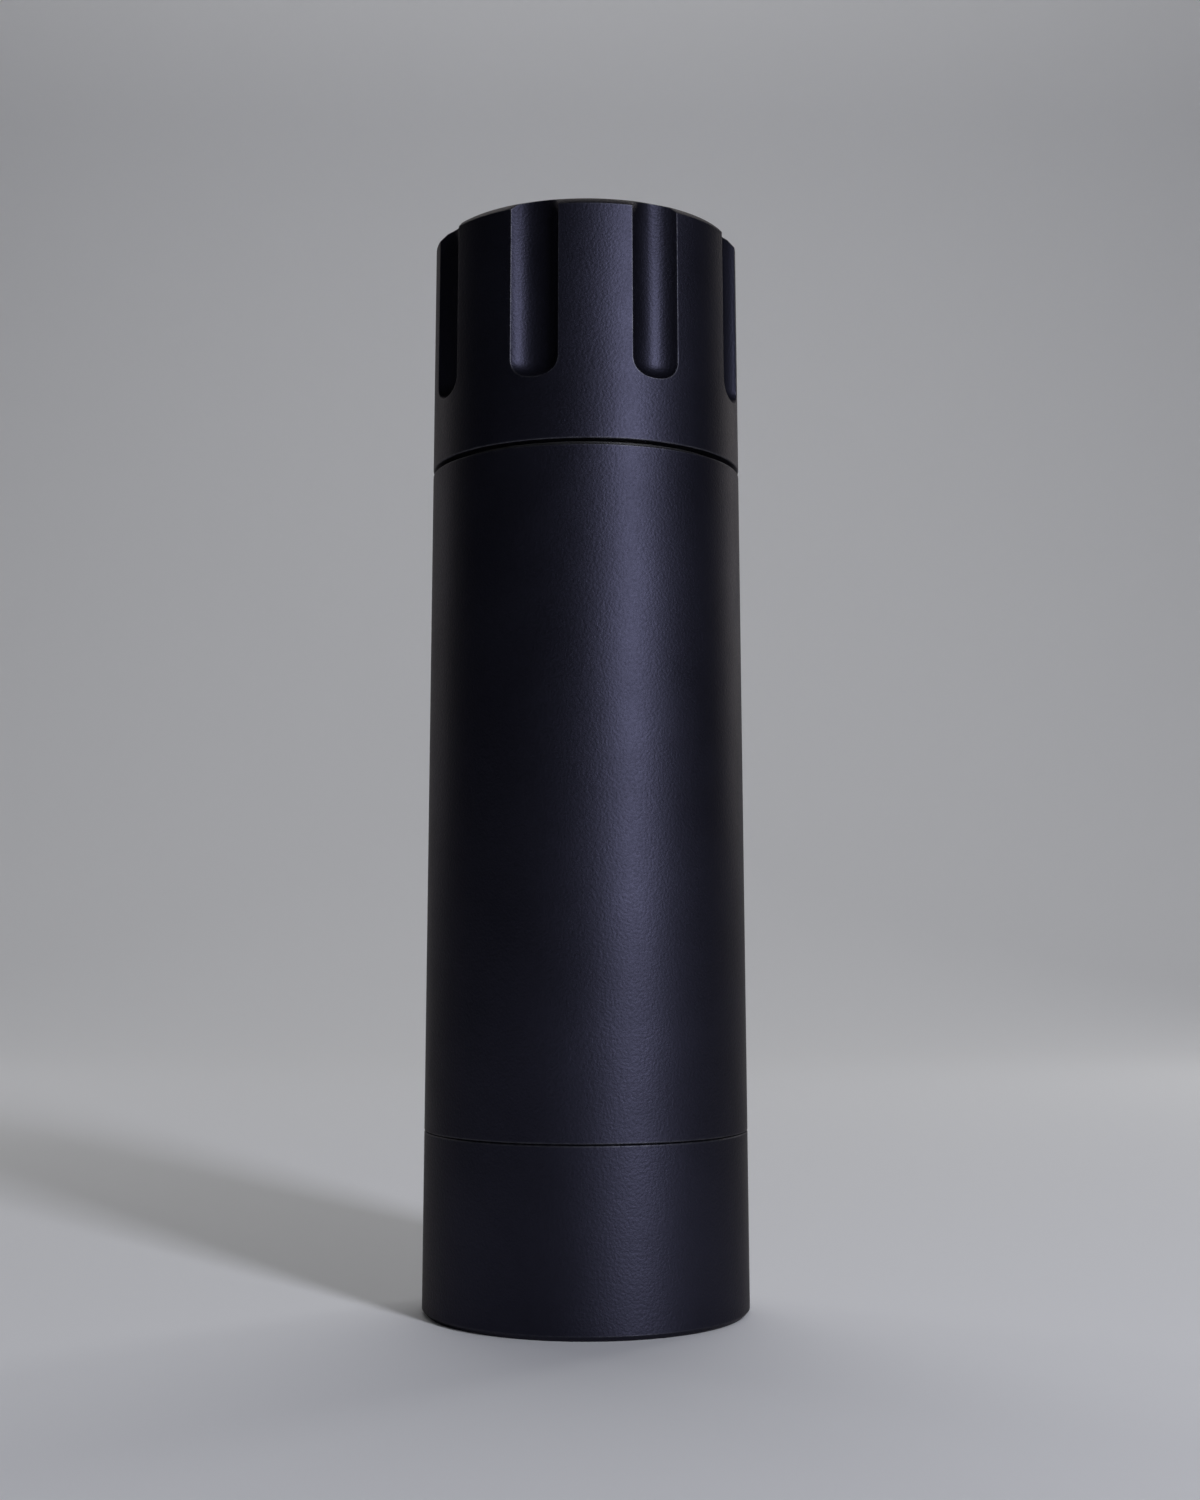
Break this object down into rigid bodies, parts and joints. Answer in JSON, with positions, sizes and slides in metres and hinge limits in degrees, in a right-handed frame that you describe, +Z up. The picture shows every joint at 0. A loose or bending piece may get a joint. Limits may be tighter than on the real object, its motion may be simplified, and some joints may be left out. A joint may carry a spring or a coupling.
{
  "type": "pepper mill",
  "caption": "Tall cylindrical pepper mill in black anodised aluminium with a fluted turning cap and a plug-on catch cup.",
  "frame": {"origin": "centre of the face it stands on", "axes": "+Z up along the shaft; -Y is the side seen from the front"},
  "size_m": [0.056, 0.056, 0.1905],
  "materials": {
    "black_anodised": "bead blasted and black anodised, matt",
    "inner_anodised": "machined and black anodised",
    "steel": "turned stainless steel",
    "burr_steel": "hardened steel with machined teeth",
    "screw_steel": "stainless socket screws",
    "spring_steel": "drawn spring steel",
    "bearing_steel": "ground and polished bearing steel",
    "shield_steel": "pressed sheet steel",
    "brass": "machined brass",
    "rubber": "nitrile rubber",
    "black_nylon": "black nylon",
    "natural_nylon": "natural nylon"
  },
  "bodies": {
    "housing": {"body_tube": "black_anodised", "glide_washer": "black_nylon", "burr_housing": "inner_anodised", "cup_o_rings": "rubber", "outer_burr": "burr_steel", "outer_burr_screws": "screw_steel", "upper_spider": "inner_anodised", "upper_snap_ring": "spring_steel", "lower_spider": "inner_anodised", "upper_bearing_outer_ring": "bearing_steel", "upper_bearing_shields": "shield_steel", "lower_bearing_outer_ring": "bearing_steel", "lower_bearing_shields": "shield_steel"},
    "cup": {"base_cup": "black_anodised"},
    "shaft": {"drive_shaft": "steel", "circlips": "spring_steel", "spring_washer": "steel", "upper_bearing_inner_ring": "bearing_steel", "lower_bearing_inner_ring": "bearing_steel"},
    "upper_ball_set": {"upper_bearing_cage": "brass", "upper_bearing_balls": "bearing_steel"},
    "lower_ball_set": {"lower_bearing_cage": "brass", "lower_bearing_balls": "bearing_steel"},
    "burr": {"inner_burr": "burr_steel", "thrust_washer": "brass", "burr_spring": "spring_steel"},
    "adjuster": {"grind_adjuster": "steel", "adjuster_lock_insert": "natural_nylon"},
    "cap": {"cap": "black_anodised", "cap_hub": "steel", "hub_screws": "screw_steel"},
    "button": {"push_button": "black_anodised", "release_sleeve": "steel", "button_spring": "spring_steel"},
    "lock_ball_a": {"lock_ball_a": "bearing_steel"},
    "lock_ball_b": {"lock_ball_b": "bearing_steel"},
    "lock_ball_c": {"lock_ball_c": "bearing_steel"}
  },
  "joints": [
    {"name": "shaft_spin", "type": "hinge", "parent": "housing", "child": "shaft", "pos_m": [0, 0, 0.1], "axis": [0, 0, 1], "continuous": true},
    {"name": "upper_cage_spin", "type": "hinge", "parent": "housing", "child": "upper_ball_set", "pos_m": [0, 0, 0.1365], "axis": [0, 0, 1], "continuous": true},
    {"name": "lower_cage_spin", "type": "hinge", "parent": "housing", "child": "lower_ball_set", "pos_m": [0, 0, 0.0625], "axis": [0, 0, 1], "continuous": true},
    {"name": "burr_travel", "type": "slide", "parent": "shaft", "child": "burr", "axis": [0, 0, -1], "range_m": [0, 0.001], "deforming": ["burr_spring"]},
    {"name": "adjuster_turn", "type": "hinge", "parent": "burr", "child": "adjuster", "pos_m": [0, 0, 0.018], "axis": [0, 0, -1], "range_deg": [0, 360]},
    {"name": "cap_lift", "type": "slide", "parent": "shaft", "child": "cap", "axis": [0, 0, 1], "range_m": [0, 0.05]},
    {"name": "button_press", "type": "slide", "parent": "cap", "child": "button", "axis": [0, 0, -1], "range_m": [0, 0.0035], "stiffness_N_per_m": 900, "springref_m": -0.004, "deforming": ["button_spring"]},
    {"name": "lock_ball_a_out", "type": "slide", "parent": "cap", "child": "lock_ball_a", "axis": [0, -1, 0], "range_m": [0, 0.00071]},
    {"name": "lock_ball_b_out", "type": "slide", "parent": "cap", "child": "lock_ball_b", "axis": [0.866, 0.5, 0], "range_m": [0, 0.00071]},
    {"name": "lock_ball_c_out", "type": "slide", "parent": "cap", "child": "lock_ball_c", "axis": [-0.866, 0.5, 0], "range_m": [0, 0.00071]},
    {"name": "cup_pull", "type": "slide", "parent": "housing", "child": "cup", "axis": [0, 0, -1], "range_m": [0, 0.03]}
  ],
  "couplings": [
    {"joint": "upper_cage_spin", "follows": "shaft_spin", "ratio": 0.3667},
    {"joint": "lower_cage_spin", "follows": "shaft_spin", "ratio": 0.3667},
    {"joint": "adjuster_turn", "follows": "burr_travel", "rad_per_m": 6283.2},
    {"joint": "lock_ball_a_out", "follows": "button_press", "ratio": 0.2},
    {"joint": "lock_ball_b_out", "follows": "button_press", "ratio": 0.2},
    {"joint": "lock_ball_c_out", "follows": "button_press", "ratio": 0.2}
  ]
}
